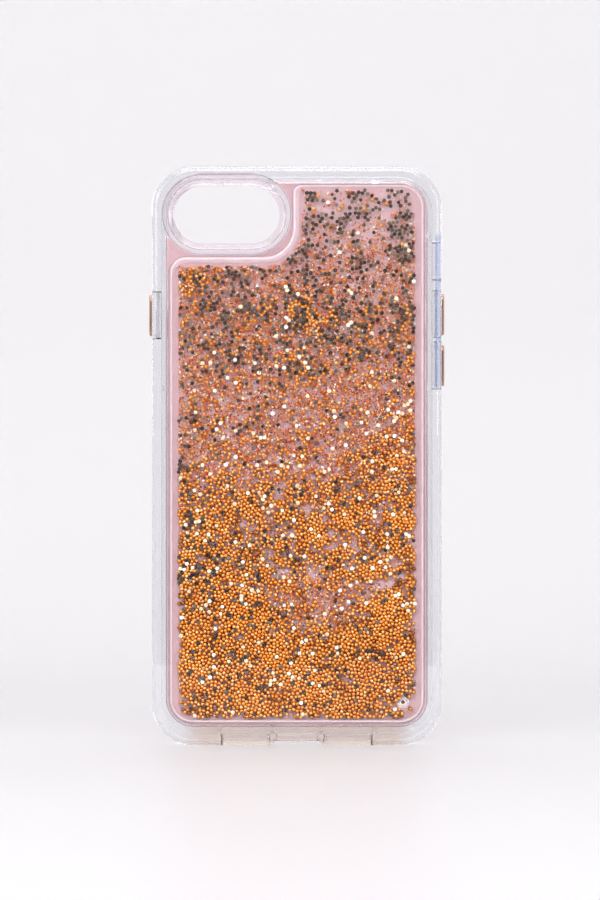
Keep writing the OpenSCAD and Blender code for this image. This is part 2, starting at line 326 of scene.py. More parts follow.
def make_stations():
    """Places round the case, anticlockwise from the middle of its right side: (side_x, side_z)
    run from -1 to 1 over the straight sides, and (out_x, out_z) points outwards."""
    reach_x, reach_z = case_frame.reach_x, case_frame.reach_z
    upright = [
        (z - case_frame.middle) / reach_z
        for z in spaced(case_frame.middle - reach_z, case_frame.middle + reach_z, 3,
                        [*side_end[:, 0], *side_band[:, 0]])
    ]
    recess = [RECESS_HALF - RECESS_SLOPE * k / 6 for k in range(7)]
    lying = [
        x / reach_x
        for x in spaced(-reach_x, reach_x, 2.5,
                        [*bottom_end[:, 0], *bottom_band[:, 0], *recess, *(-r for r in recess)])
    ]
    stations = []

    def corner(side_x, side_z, start):
        for k in range(1, 18):
            a = math.radians(start + 5 * k)
            stations.append((side_x, side_z, math.cos(a), math.sin(a)))

    stations += [(1, t, 1, 0) for t in upright]
    corner(1, 1, 0)
    stations.extend((t, 1, 0, 1) for t in reversed(lying))
    corner(-1, 1, 90)
    stations.extend((-1, t, -1, 0) for t in reversed(upright))
    corner(-1, -1, 180)
    stations.extend((t, -1, 0, -1) for t in lying)
    corner(1, -1, 270)
    return stations


stations = make_stations()


def wall_level(station, along_side, along_bottom, plain):
    """The level of a wall's end at a station, from the tables for the sides and the bottom."""
    x, z = case_frame.at(station, 0)
    if station[2] in (1, -1):
        return float(np.interp(z, along_side[:, 0], along_side[:, 1]))
    if station[3] == -1:
        return float(np.interp(x, along_bottom[:, 0], along_bottom[:, 1]))
    return plain


def recess_at(station):
    """How far the case's bottom is set in at a station, for the recess round the port."""
    if station[3] != -1:
        return 0.0
    x, _ = case_frame.at(station, 0)
    share = min(max((RECESS_HALF - abs(x)) / RECESS_SLOPE, 0), 1)
    return RECESS_DEEP * share * share * (3 - 2 * share)


def arc(which, *path):
    """An arc of a wall's section: a bend whose places are measured in from a frame's edge."""
    return [(which, inset, level) for inset, level in bend(*path)]


def ring(name, profile, *materials):
    """A ring round the case. The profile gives, for each station, a closed row of points
    (frame, inset, level)."""
    sections = [profile(s) for s in stations]
    loops = []
    for k in range(len(sections[0])):
        loop = []
        for station, section in zip(stations, sections):
            which, inset, level = section[k]
            x, z = which.at(station, inset)
            loop.append((x, level, z))
        loops.append(loop)
    return loft(name, loops, True, *materials)


# ---- Materials ----

class Nodes:
    """The nodes of a material or of the world, from an empty start."""

    def __init__(self, owner):
        owner.use_nodes = True
        self.tree = owner.node_tree
        self.tree.nodes.clear()

    def add(self, kind, **inputs):
        node = self.tree.nodes.new("ShaderNode" + kind)
        for socket, value in inputs.items():
            node.inputs[socket].default_value = value
        return node

    def link(self, source, target):
        self.tree.links.new(source, target)

    def spread(self, source, **limits):
        """A value carried from one range to another, each 0 to 1 unless its limits are given."""
        node = self.add("MapRange", **limits)
        self.link(source, node.inputs["Value"])
        return node.outputs["Result"]

    def ramp(self, source, *stops):
        """Colours along a 0 to 1 value: (place, colour) stops."""
        scale = self.add("ValToRGB")
        bar = scale.color_ramp
        while len(bar.elements) < len(stops):
            bar.elements.new(0.5)
        for element, (place, colour) in zip(bar.elements, stops):
            element.position = place
            element.color = (*colour, 1)
        self.link(source, scale.inputs["Fac"])
        return scale.outputs["Color"]


class Paint(Nodes):
    """A material under construction, with its Principled shader."""

    def __init__(self, name, **settings):
        self.material = bpy.data.materials.new(name)
        super().__init__(self.material)
        self.output = self.add("OutputMaterial")
        self.shader = self.add("BsdfPrincipled", **settings)
        self.link(self.shader.outputs[0], self.output.inputs["Surface"])

    def feed(self, socket, source):
        """Leads a value into the shader."""
        self.link(source, self.shader.inputs[socket])

    def place(self, stretch=(1, 1, 1)):
        """Object coordinates, stretched."""
        where = self.add("TexCoord")
        sized = self.add("Mapping", Scale=stretch)
        self.link(where.outputs["Object"], sized.inputs["Vector"])
        return sized.outputs["Vector"]

    def noise(self, scale, detail=3.0, stretch=(1, 1, 1)):
        cloud = self.add("TexNoise", Scale=scale, Detail=detail)
        self.link(self.place(stretch), cloud.inputs["Vector"])
        return cloud.outputs["Fac"]

    def ranged(self, source, low, high):
        """A 0 to 1 value spread from low to high."""
        return self.spread(source, **{"To Min": low, "To Max": high})

    def bump(self, source, strength, distance):
        raised = self.add("Bump", Strength=strength, Distance=distance * MM)
        self.link(source, raised.inputs["Height"])
        self.feed("Normal", raised.outputs["Normal"])

    def maths(self, operation, one, other):
        node = self.add("Math")
        node.operation = operation
        self.link(one, node.inputs[0])
        self.link(other, node.inputs[1])
        return node.outputs[0]

    def places(self):
        """The x, y and z of object coordinates."""
        parts = self.add("SeparateXYZ")
        self.link(self.place(), parts.inputs[0])
        return parts.outputs

    def vanish_where(self, share):
        """Makes the material transparent where a share is 1."""
        gone = self.add("BsdfTransparent")
        mix = self.add("MixShader")
        self.link(share, mix.inputs[0])
        self.link(self.shader.outputs[0], mix.inputs[1])
        self.link(gone.outputs[0], mix.inputs[2])
        self.link(mix.outputs[0], self.output.inputs["Surface"])

    def let_lamps_through(self):
        """Lets light from lamps reach what lies behind clear plastic."""
        self.vanish_where(self.add("LightPath").outputs["Is Shadow Ray"])


def clear_plastic(name, tint, ior, low_rough, high_rough, wave):
    """Moulded clear plastic: nearly smooth, with faint flow marks and a slight waviness."""
    paint = Paint(name, **{
        "Base Color": (*tint, 1), "Transmission Weight": 1.0, "IOR": ior,
    })
    streaks = paint.noise(220, stretch=(1, 1, 0.35))
    paint.feed("Roughness", paint.ranged(streaks, low_rough, high_rough))
    paint.bump(paint.noise(45, 2.0), wave, 1.0)
    paint.let_lamps_through()
    return paint


def paint_refracted_tints(paint, clear, warm, cool):
    """Paints light into the shell: a warm tint along the middle of its bottom wall, a painted
    reflection of the rose panel's pink, and cool blue in the thin line beside the volume buttons,
    a painted shadow line."""
    across, _, z = paint.places()
    aside = paint.add("Math")
    aside.operation = "ABSOLUTE"
    paint.link(across, aside.inputs[0])
    x = aside.outputs[0]

    def zone(source, full, none):
        """1 on the full limit's side and 0 on the other limit's side, in millimetres."""
        return paint.spread(source, **{"From Min": none * MM, "From Max": full * MM})

    def both(one, other):
        return paint.maths("MULTIPLY", one, other)

    def mixed(share, colour, over):
        blend = paint.add("Mix")
        blend.data_type = "RGBA"
        paint.link(share, blend.inputs["Factor"])
        blend.inputs[7].default_value = (*over, 1)
        if isinstance(colour, tuple):
            blend.inputs[6].default_value = (*colour, 1)
        else:
            paint.link(colour, blend.inputs[6])
        return blend.outputs[2]

    # Painted reflection: the warm share along the bottom wall stands in for the panel's pink seen
    # through it.
    bottom = both(zone(z, 4, 7), zone(x, 24, 29))
    # Painted shade: a thin cool blue shadow line along the right wall, between the side notch's ends.
    deep, shallow, blur = HALF_W - 1.6, HALF_W - 0.95, 1
    line = both(both(zone(x, deep + 0.1, deep), zone(x, shallow - 0.05, shallow)), both(
        zone(z, NOTCH_LOW + blur, NOTCH_LOW), zone(z, NOTCH_HIGH - blur, NOTCH_HIGH)))
    line = both(line, zone(across, blur, -blur))
    paint.feed("Base Color", mixed(line, mixed(bottom, clear, warm), cool))
    return paint


def rose_plastic():
    """The tinted inner panel: satin rose with a fine grid of raised dots."""
    paint = Paint("rose_plastic", **{
        "IOR": 1.5, "Specular IOR Level": 0.4, "Transmission Weight": 0.25,
    })
    dots = paint.add("TexVoronoi", Scale=1900.0, Randomness=0.25)
    paint.link(paint.place(), dots.inputs["Vector"])
    tone = paint.maths(
        "ADD", paint.ranged(dots.outputs["Distance"], 0.0, 0.6),
        paint.ranged(paint.noise(60), 0.0, 0.4))
    paint.feed(
        "Base Color",
        paint.ramp(tone, (0.15, (0.74, 0.515, 0.545)), (0.85, (0.60, 0.395, 0.425))))
    paint.feed("Roughness", paint.ranged(paint.noise(300), 0.28, 0.42))
    paint.bump(dots.outputs["Distance"], 0.25, 0.05)
    return paint.material


def weld_plastic(name, tint, rough):
    """Clear plastic made milky by the weld, with a fine grain. Its dark kind is painted shadow,
    and its white kind also serves as painted highlight.
    """
    paint = Paint(name, **{"Transmission Weight": 0.3, "IOR": 1.45})
    grain = paint.noise(900, 4.0)
    deep = tuple(0.9 * c for c in tint)
    paint.feed("Base Color", paint.ramp(grain, (0.3, deep), (0.7, tint)))
    paint.feed("Roughness", paint.ranged(grain, rough - 0.08, rough + 0.08))
    paint.bump(grain, 0.1, 0.05)
    paint.let_lamps_through()
    return paint.material


def liquid_paint():
    """The nearly invisible liquid, with faint streaks."""
    paint = Paint("carrier_liquid", **{
        "Base Color": (0.97, 0.9, 0.88, 1), "Roughness": 0.2, "IOR": 1.33,
    })
    paint.feed("Alpha", paint.ranged(paint.noise(40, stretch=(1, 1, 0.3)), 0.002, 0.008))
    return paint.material


def glitter_paint(name, stops, metallic, rough, grain=0.1, edge=(1, 1, 1)):
    """Shiny grains, each with its own shade from the stops, and a tint at their edges."""
    paint = Paint(name, **{"Metallic": metallic, "Specular Tint": (*edge, 1)})
    one = paint.add("NewGeometry")
    paint.feed("Base Color", paint.ramp(one.outputs["Random Per Island"], *stops))
    paint.feed("Roughness", paint.ranged(paint.noise(1500), rough - grain, rough + grain))
    return paint.material


def brushed_metal(name, bright, deep):
    """Anodised metal, brushed along its length."""
    paint = Paint(name, **{"Metallic": 1.0, "Anisotropic": 0.5})
    lines = paint.noise(2600, 2.0, stretch=(1, 1, 0.04))
    paint.feed("Base Color", paint.ramp(lines, (0.3, deep), (0.7, bright)))
    paint.feed("Roughness", paint.ranged(lines, 0.22, 0.38))
    paint.bump(lines, 0.12, 0.02)
    return paint.material


# The shell's clear colour, then its painted light: warm for the panel's pink seen through the bottom
# wall, and cool blue for a shadow line.
shell_clear_and_painted_tints = (0.99, 0.99, 0.995), (0.88, 0.77, 0.69), (0.55, 0.63, 0.86)
hard_clear = paint_refracted_tints(
    clear_plastic("hard_clear", shell_clear_and_painted_tints[0], 1.5, 0.0, 0.02, 0.004), *shell_clear_and_painted_tints).material
# The surround's rose tint is a painted reflection of the pink phone back seen in the camera window.
surround_clear = clear_plastic("surround_clear", (0.96, 0.87, 0.90), 1.5, 0.0, 0.02, 0.004).material
# A dark kind of the surround's plastic: painted shade for the thin dark outline at its outer edge.
surround_dark = clear_plastic("surround_dark", (0.36, 0.31, 0.38), 1.5, 0.0, 0.02, 0.004).material
window_clear = clear_plastic("window_clear", (0.995, 0.995, 0.995), 1.22, 0.0, 0.01, 0.004).material
soft_clear = clear_plastic("soft_clear", (0.965, 0.97, 0.985), 1.46, 0.01, 0.06, 0.01).material
weld_clear = clear_plastic("weld_clear", (0.99, 0.965, 0.97), 1.3, 0.03, 0.09, 0.01).material
# A white kind: the plug's milky plastic, and painted highlight on the weld's crest and at notch ends.
weld_white = weld_plastic("weld_white", (0.90, 0.83, 0.86), 0.4)
weld_pale = weld_plastic("weld_pale", (0.70, 0.55, 0.58), 0.4)
# A dark kind: painted shadow for the seam line outside the weld.
weld_dark = weld_plastic("weld_dark", (0.42, 0.32, 0.35), 0.4)
rose_panel = rose_plastic()
liquid_clear = liquid_paint()
rose_gold = brushed_metal("rose_gold_metal", (0.62, 0.37, 0.25), (0.45, 0.25, 0.16))
copper = glitter_paint("copper_bead", (
    (0.0, (0.82, 0.33, 0.055)), (0.45, (0.92, 0.43, 0.09)), (0.85, (0.98, 0.53, 0.15)),
    (1.0, (1.0, 0.68, 0.32))), 1.0, 0.3, 0.02, (0.45, 0.19, 0.07))
# Darker copper for the beads behind: painted shade for their place in the shadow of the front beads.
shaded_copper = glitter_paint("copper_bead_deep", (
    (0.0, (0.42, 0.14, 0.02)), (1.0, (0.62, 0.26, 0.06))), 1.0, 0.3, 0.02, (0.3, 0.12, 0.04))
# Dark discs: their near-black is painted reflection, the dark surroundings seen in mirror foil.
bronze = glitter_paint("bronze_foil", (
    (0.0, (0.035, 0.021, 0.015)), (0.6, (0.085, 0.055, 0.04)), (1.0, (0.24, 0.165, 0.13))), 0.6, 0.4)
# Bright discs: their near-white is painted highlight, the glint of mirror foil turned to the lamps.
pale_gold_painted_glint = glitter_paint("gold_foil", (
    (0.0, (0.78, 0.55, 0.33)), (0.4, (0.9, 0.73, 0.5)), (0.8, (0.97, 0.88, 0.72)),
    (1.0, (1.0, 0.98, 0.92))), 0.2, 0.3, 0.05)
# Fine flakes in their own orange, with near-white top stops that are painted highlight for glints.
copper_foil = glitter_paint("copper_foil", (
    (0.0, (0.12, 0.04, 0.02)), (0.12, (0.52, 0.08, 0.015)), (0.5, (0.80, 0.20, 0.035)),
    (0.75, (0.78, 0.34, 0.14)), (0.88, (0.95, 0.68, 0.42)), (1.0, (1.0, 0.95, 0.88))), 0.3, 0.35, 0.05)


# ---- Hard shell and reservoir ----

EDGE = 0.25             # radius of the small rounded edges


def shell_section(station):
    end = wall_level(station, side_end, bottom_end, SHELL_FRONT)
    recess = recess_at(station)
    inner = max(SHELL_WALL, recess + 0.25)
    under = panel_high.y
    fillet = 0.35
    section = arc(window_frame, -EDGE, BACK + EDGE, EDGE, -90, 90)
    section += [
        (window_frame, 0, wall_high.y), (window_frame, -PANEL_STEP, wall_high.y),
        (window_frame, -PANEL_STEP, under),
    ]
    section += arc(case_frame, inner + fillet, under + fillet, fillet, -90, -90)
    section += arc(case_frame, inner - EDGE, end - EDGE, EDGE, 0, 90)
    section += arc(case_frame, min(recess, RECESS_DEEP) + EDGE, end - EDGE, EDGE, 90, 90)
    section += arc(
        case_frame, BACK_EDGE_R + recess, BACK + BACK_EDGE_R, BACK_EDGE_R, 180, 90, 10)
    return section


def camera_cutter(grow):
    return prism(
        slot_outline(CAMERA_X, CAMERA_Z, CAMERA_SPAN, SURROUND_R + grow, 32), BACK - 2, PHONE_BACK + 2)


def paint_end_glints(piece):
    """Gives a wall's faces at the ends of its notches and of the mute opening the milky white
    plastic: a painted highlight for the glints there.
    """
    mute = (MUTE_Z - MUTE_LEN / 2, MUTE_Z + MUTE_LEN / 2)
    steep, near = 0.7, 1
    for face in piece.data.polygons:
        x, z = face.center.x / MM, face.center.z / MM
        ends = (NOTCH_LOW, NOTCH_HIGH, *(mute if x > 0 else ()))
        across, upwards = abs(face.normal.x) > steep, abs(face.normal.z) > steep
        at_bottom = across and z < 6 and abs(abs(x) - BOTTOM_NOTCH_HALF) < near
        at_side = upwards and abs(x) > HALF_W - 3 and min(abs(z - end) for end in ends) < near
        if at_bottom or at_side:
            face.material_index = 1
    return piece


# The shell's second, white material is painted highlight at its notch ends.
outer_shell = ring("outer_shell_clear", shell_section, hard_clear, weld_white)
outer_shell = smooth(paint_end_glints(cut(outer_shell, camera_cutter(SEAT_GAP))))


def plate(name, corners, grow, back, front, edge, *materials):
    """A flat plate of a filleted outline, with rounded edges."""
    loops = []
    for x, y in bend(0, back + edge, edge, -90, 90) + bend(0, front - edge, edge, 0, 90):
        loops.append([(p, y, q) for p, q in filleted(corners, grow - edge + x)])
    return loft(name, loops, False, *materials)


def box_corners(left, right, low, high, r):
    return [(left, low, r), (right, low, r), (right, high, r), (left, high, r)]


window_corners = box_corners(
    -window_high.x, window_high.x, window_low.z, window_high.z, WINDOW_R - SEAT_GAP)
panel_corners = box_corners(
    -panel_high.x, panel_high.x, panel_low.z, panel_high.z, WINDOW_R + PANEL_STEP - SEAT_GAP)
STEP_X = CAMERA_X + CAMERA_SPAN / 2 + SURROUND_R + SEAT_GAP + CAMERA_GAP + WELD_W
STEP_Z = CAMERA_Z - SURROUND_R - SEAT_GAP - CAMERA_GAP - WELD_W


def around_liquid(side, step, top, bottom):
    """The liquid's corners, set out by a distance of its own at each side, at the camera step,
    at the top and at the bottom."""
    left, right = liquid_low.x - side, liquid_high.x + side
    low, high = liquid_low.z - bottom, liquid_high.z + top
    return [
        (left, low, LIQUID_R + bottom), (right, low, LIQUID_R + bottom),
        (right, high, LIQUID_R + top), (STEP_X - step, high, STEP_TOP_R + top),
        (STEP_X - step, STEP_Z + step, STEP_R - step), (left, STEP_Z + step, STEP_SIDE_R + side),
    ]


liquid_corners = around_liquid(0, 0, 0, 0)

back_window = smooth(cut(
    plate("back_window_clear", window_corners, 0, window_low.y, window_high.y, 0.15, window_clear),
    camera_cutter(CAMERA_GAP)))

# The reservoir's wall is clear, and the weld shows as a pale line that runs along it.
reservoir_wall = plate(
    "reservoir_wall_clear", window_corners, 0, wall_low.y + 0.01, wall_high.y - 0.01, 0.1, weld_clear)
reservoir_wall = smooth(cut(
    reservoir_wall,
    prism(filleted(liquid_corners, 0.02, 14), wall_low.y - 1, wall_high.y + 1),
    camera_cutter(CAMERA_GAP)))


def weld_ridge(name, near, far, sunk, material):
    """A flat-topped ridge inside the reservoir wall's back face, between two outlines."""
    inner, outer = (filleted(around_liquid(*edge), 0, 14) for edge in (near, far))
    loops = []
    for share, y in (
        (0, 0.4), (0, 0.12), (0.12, 0.02), (0.3, 0), (0.7, 0), (0.88, 0.02), (1, 0.12), (1, 0.4),
    ):
        loops.append([
            (a[0] + share * (b[0] - a[0]), wall_low.y + sunk + y, a[1] + share * (b[1] - a[1]))
            for a, b in zip(inner, outer)
        ])
    return smooth(loft(name, loops, True, material))


# The weld is a pale band with a whiter line along it, a painted highlight on its crest, and a
# thin dark line outside it, a painted shadow of the seam. Each ridge has its near and far
# distances from the liquid, at the sides, step, top and bottom.
welds = [
    weld_ridge("weld_band", (1.2, 0.45, 0.28, 0.38), (1.88, 1.94, 0.78, 0.92), 0.05, weld_pale),
    weld_ridge("weld_crest", (1.42, 1.3, 0.42, 0.52), (1.64, 1.72, 0.62, 0.76), 0.03, weld_white),
    weld_ridge("weld_rim", (1.94, 1.99, 0.82, 0.97), (2.18, 2.16, 1.0, 1.2), 0.06, weld_dark),
]

inner_panel = plate(
    "inner_panel_rose", panel_corners, 0, panel_low.y, panel_high.y, 0.12, rose_panel)
plug_x, plug_z = (plug_low.x + plug_high.x) / 2, (plug_low.z + plug_high.z) / 2
PLUG_R = (plug_high.x - plug_low.x) / 2
inner_panel = smooth(cut(
    inner_panel, camera_cutter(CAMERA_GAP),
    prism(slot_outline(plug_x, plug_z, 0, PLUG_R + 0.01, 24), panel_low.y - 1, panel_high.y + 1)))

liquid_fill = plate(
    "liquid_fill_clear", liquid_corners, 0, liquid_low.y, liquid_high.y, 0.1, liquid_clear)
liquid_fill = smooth(cut(
    liquid_fill,
    prism(slot_outline(plug_x, plug_z, 0, PLUG_R + 0.05, 24), liquid_high.y - 0.4, liquid_high.y + 1)))


def fill_plug_piece():
    """The stepped plug, with a shallow dimple in its outer face."""
    rim, stub = PLUG_R, PLUG_R - 0.32
    shape = [
        (0.5, panel_high.y - 0.2), (0.75, panel_high.y - 0.05), (rim - 0.12, panel_high.y),
        (rim, panel_high.y - 0.12), (rim, panel_low.y + 0.1), (rim - 0.1, panel_low.y),
        (stub + 0.05, panel_low.y), (stub, panel_low.y - 0.05), (stub, plug_low.y + 0.1),
        (stub - 0.1, plug_low.y),
    ]
    loops = [[(x, y, z) for x, z in slot_outline(plug_x, plug_z, 0, r, 24)] for r, y in shape]
    return smooth(loft("fill_plug_stopper", loops, False, weld_white))


fill_plug = fill_plug_piece()


def camera_surround_piece():
    """The ring that lines the camera window, with its sloped and slightly curved face."""
    outer, inner = SURROUND_R, CAMERA_END_R
    back, front = surround_low.y, surround_high.y
    slope_top, slope_deep, crown = outer - CAMERA_BAND, 2.3, 0.22
    small = 0.15
    shape = bend(outer - EDGE, back + EDGE, EDGE, 0, -90, 4)
    for k in range(13):
        share = k / 12
        shape.append((
            slope_top - (slope_top - inner) * share,
            back + slope_deep * share + crown * math.sin(math.pi * share),
        ))
    shape += bend(inner + small, front - small, small, 180, -90, 3)
    shape += bend(outer - small, front - small, small, 90, -90, 3)
    loops = [
        [(x, y, z) for x, z in slot_outline(CAMERA_X, CAMERA_Z, CAMERA_SPAN, r, 32)]
        for r, y in shape
    ]
    piece = loft("camera_surround_clear", loops, True, surround_clear, surround_dark)
    # Painted shade: the faces beyond this get the dark plastic, as a thin dark outline.
    painted_shade_from = (outer - 0.22) * MM        # the edge beyond this shows as a thin dark outline
    for face in piece.data.polygons:
        across = max(abs(face.center.x - CAMERA_X * MM) - CAMERA_SPAN / 2 * MM, 0)
        if math.hypot(across, face.center.z - CAMERA_Z * MM) > painted_shade_from:
            face.material_index = 1
    return smooth(piece, 30)


camera_surround = camera_surround_piece()


# ---- Soft liner ----

def liner_section(station):
    band = wall_level(station, side_band, bottom_band, BAND_FRONT)
    padded = band < BAND_FRONT - 0.01
    recess = recess_at(station)
    sunk = recess + (PAD_SUNK if padded else 0)
    small, tip = 0.2, 0.3
    floor_edge = 0.25
    section = arc(phone_frame, LIP_REACH - tip, PHONE_FRONT + tip, tip, -90, 90)
    section += arc(phone_frame, LIP_REACH - tip, FRONT - tip, tip, 0, 90)
    section += arc(case_frame, LIP_EDGE_R + recess, FRONT - LIP_EDGE_R, LIP_EDGE_R, 90, 90, 8)
    section += [(case_frame, recess, BAND_FRONT + 0.5), (case_frame, sunk, BAND_FRONT + 0.4)]
    section += arc(case_frame, sunk + small, band + small, small, 180, 90, 3)
    section += [(case_frame, max(LINER_OUT, sunk + small), band)]
    section += arc(case_frame, LINER_OUT + small, liner_low.y + small, small, 180, 90, 3)
    section += arc(phone_frame, FLANGE_REACH - small, liner_low.y + small, small, -90, 90, 3)
    section += arc(phone_frame, FLANGE_REACH - small, PHONE_BACK - small, small, 0, 90, 3)
    section += arc(
        phone_frame, floor_edge, PHONE_BACK + floor_edge, floor_edge, -90, -90, 3)
    section += arc(
        phone_frame, floor_edge, PHONE_FRONT - floor_edge, floor_edge, 180, -90, 3)
    return section


def rounded_hole(along, up, wide, high, r, low, top, axis):
    """A cutter for an opening with rounded corners, through a wall along an axis."""
    corners = box_corners(along - wide / 2, along + wide / 2, up - high / 2, up + high / 2, r)
    return prism(filleted(corners, 0, 6), low, top, axis)


def liner_cutters():
    grille_x = PORT_HALF + WEB_W + GRILLE_W / 2
    within, beyond = PHONE_HALF_W - 0.8, HALF_W + 1
    cutters = [
        rounded_hole(x, KEYS_Y, wide, PORT_DEEP, PORT_R, -1, 3.4, "z")
        for x, wide in ((0, 2 * PORT_HALF), (-grille_x, GRILLE_W), (grille_x, GRILLE_W))
    ]
    cutters.append(rounded_hole(
        KEYS_Y, MUTE_Z, PORT_DEEP, MUTE_LEN, PORT_R, within, beyond, "x"))
    for cap in ("power_button_cap", "volume_up_cap", "volume_down_cap"):
        low, high = node_box(cap)
        side = 1 if low.x > 0 else -1
        middle = (low.z + high.z) / 2
        window = slot_outline(
            KEYS_Y, middle, BUTTON_LEN - BUTTON_WIDE, BUTTON_WIDE / 2 + 0.2, 16, True)
        cutters.append(prism(window, side * within, side * beyond, "x"))
        cutters.append(rounded_hole(
            KEYS_Y, middle, BUTTON_WIDE + 1.4, BUTTON_LEN + 1.7, 0.6, side * within,
            side * (HALF_W - LINER_OUT), "x"))
    return cutters


# The liner's second, white material is painted highlight at its notch and mute ends.
soft_liner = cut(ring("soft_liner_clear", liner_section, soft_clear, weld_white), *liner_cutters())
soft_liner = smooth(paint_end_glints(soft_liner))


# ---- Buttons ----

def button_pieces(name):
    """A crowned metal cap and the soft pad behind it."""
    low, high = node_box(name + "_cap")
    pad_low, pad_high = node_box(name + "_pad")
    side = 1 if low.x > 0 else -1
    foot, face = (low.x, high.x) if side > 0 else (high.x, low.x)
    middle = (low.z + high.z) / 2
    span, r = BUTTON_LEN - BUTTON_WIDE, BUTTON_WIDE / 2

    def ring_at(x, radius):
        return [(x, y, z) for y, z in slot_outline(KEYS_Y, middle, span, radius, 16, True)]

    edge = 0.28
    loops = [ring_at(foot + side * 0.08, r - 0.08), ring_at(foot + side * 0.16, r)]
    for x, y in bend(r - edge, edge, edge, 0, 90, 5):
        loops.append(ring_at(face - side * (0.04 + 2 * edge - y), x))
    for share in (0.7, 0.4, 0.1):
        loops.append(ring_at(face - side * 0.04 * share ** 2, r * share * 0.8))
    cap = smooth(loft(name + "_metal_cap", loops, False, rose_gold), 50)

    back = pad_low.x if side > 0 else pad_high.x
    front = pad_high.x if side > 0 else pad_low.x
    flange_y, flange_z = (pad_high.y - pad_low.y) / 2, (pad_high.z - pad_low.z) / 2
    flange_t = abs(front - back) - 0.55

    def flange_at(x, inset):
        corners = box_corners(
            KEYS_Y - flange_y, KEYS_Y + flange_y, middle - flange_z, middle + flange_z, 0.5)
        return [(x, y, z) for y, z in filleted(corners, -inset, 6)]

    soft = 0.1
    loops = [
        flange_at(back, soft), flange_at(back + side * soft, 0),
        flange_at(back + side * (flange_t - soft), 0), flange_at(back + side * flange_t, soft),
    ]
    flange = loft(name + "_pad_flange", loops, False, soft_clear)
    ends = [ring_at(back + side * (flange_t - 0.05), r), ring_at(front, r)]
    post = loft(name + "_post", ends, False, soft_clear)
    combine("UNION", flange, post)
    flange.name = name + "_soft_pad"
    return cap, smooth(flange)


# ---- Glitter ----

BEAD_R = 0.5
DISC_R = 0.53
FLAKE_R = 0.35
FLAKE_COVER = 0.4       # how much of a full disc of that radius a flake covers
BEAD_PACK_R = BEAD_R * 0.94     # grains settle this close, as they lie at unequal depths
DISC_PACK_R = DISC_R * 0.9
MOST_BALLS, MOST_DISCS, MOST_FLAKES = 1100, 1500, 8000      # grains in one piece
CHAMBER_BACK = liquid_low.y + 0.01
dice = np.random.default_rng(20)


def rise(a, b, value):
    """0 up to a, 1 from b, smooth between."""
    share = np.clip((value - a) / (b - a), 0, 1)
    return share * share * (3 - 2 * share)


def hump(value, middle, wide):
    return np.exp(-((value - middle) / wide) ** 2)


def patches(x, z, size, seed):
    """Soft random patches, about -1 to 1."""
    return np.array([
        noise.noise(Vector((p / size, q / size, seed))) for p, q in zip(x, z)
    ]) * 1.6


def heap_top(x):
    """Height of the settled heap at the bottom, which dips in the middle."""
    return 38.5 - 12.5 * hump(x, 5, 10.5)


def dip(x, z):
    """1 in the hollow above the heap, where few beads lie."""
    return hump(x, 5, 12) * hump(z, 36, 7)


def spot(x, z, middle, wide, high):
    """1 at a middle (x, z), fading to nothing round it."""
    return hump(x, middle[0], wide) * hump(z, middle[1], high)


TOP_LEFT = (-25.5, 116.5)       # bead clusters near the top
TOP_MIDDLE = (3, 107)


def bead_share(x, z):
    """How much of the view the beads in front cover: packed at the bottom, thin at the top."""
    heap = rise(2, -1, z - heap_top(x))
    loose = 0.16 + 0.44 * rise(0, -16, z - 74 - 13 * rise(5, 28, x)) - 0.4 * dip(x, z)
    loose *= 1 - 0.85 * rise(104, 116, z)
    loose += 0.75 * spot(x, z, TOP_LEFT, 4.5, 4) + 0.6 * spot(x, z, TOP_MIDDLE, 4.5, 4.5)
    loose += 0.28 * patches(x, z, 2.6, 1.0) * rise(0.05, 0.3, loose)
    share = np.maximum(0.78 * heap, np.clip(loose, 0.02, 0.74))
    return share * (1 - spot(x, z, (plug_x + 0.5, plug_z), 2.2, 2.4))


def dark_disc_share(x, z):
    """Dark discs: thick across the top, in clusters at the left, few at the lower right."""
    share = 0.05 + 0.19 * rise(88, 99, z) + 0.05 * rise(106, 112, z) + 0.16 * rise(128, 135, z)
    share += 0.12 * spot(x, z, (6, 104), 20, 7)
    share += 0.03 * rise(5, -28, x) + 0.12 * spot(x, z, (-28.5, 68), 3, 20)
    share += 0.5 * spot(x, z, (-23, 45), 7, 3.5)
    share *= 1 - 0.75 * spot(x, z, TOP_LEFT, 5, 5)
    return np.clip(share * (1 + 0.8 * patches(x, z, 4, 5.0)), 0, 0.6)


def bright_disc_share(x, z):
    """Bright discs: scattered through the middle and the lower part."""
    share = 0.012 + 0.03 * hump(z, 62, 28) + 0.015 * (1 - rise(20, 60, z))
    share += 0.12 * spot(x, z, (26, 80), 5, 5) + 0.08 * spot(x, z, (5, 20), 8, 5)
    return np.clip(share * (1 + 0.6 * patches(x, z, 6, 9.0)), 0, 0.2)


def flake_share(x, z):
    """Fine flakes: most in the middle and upper part, where the beads are few."""
    share = 0.14 + 0.82 * rise(137, 112, z) * rise(50, 74, z) + 0.85 * dip(x, z)
    share -= 0.08 * rise(1, -1, z - heap_top(x))
    return np.clip(share * (1 + 0.5 * patches(x, z, 3, 13.0)), 0, 1.1)


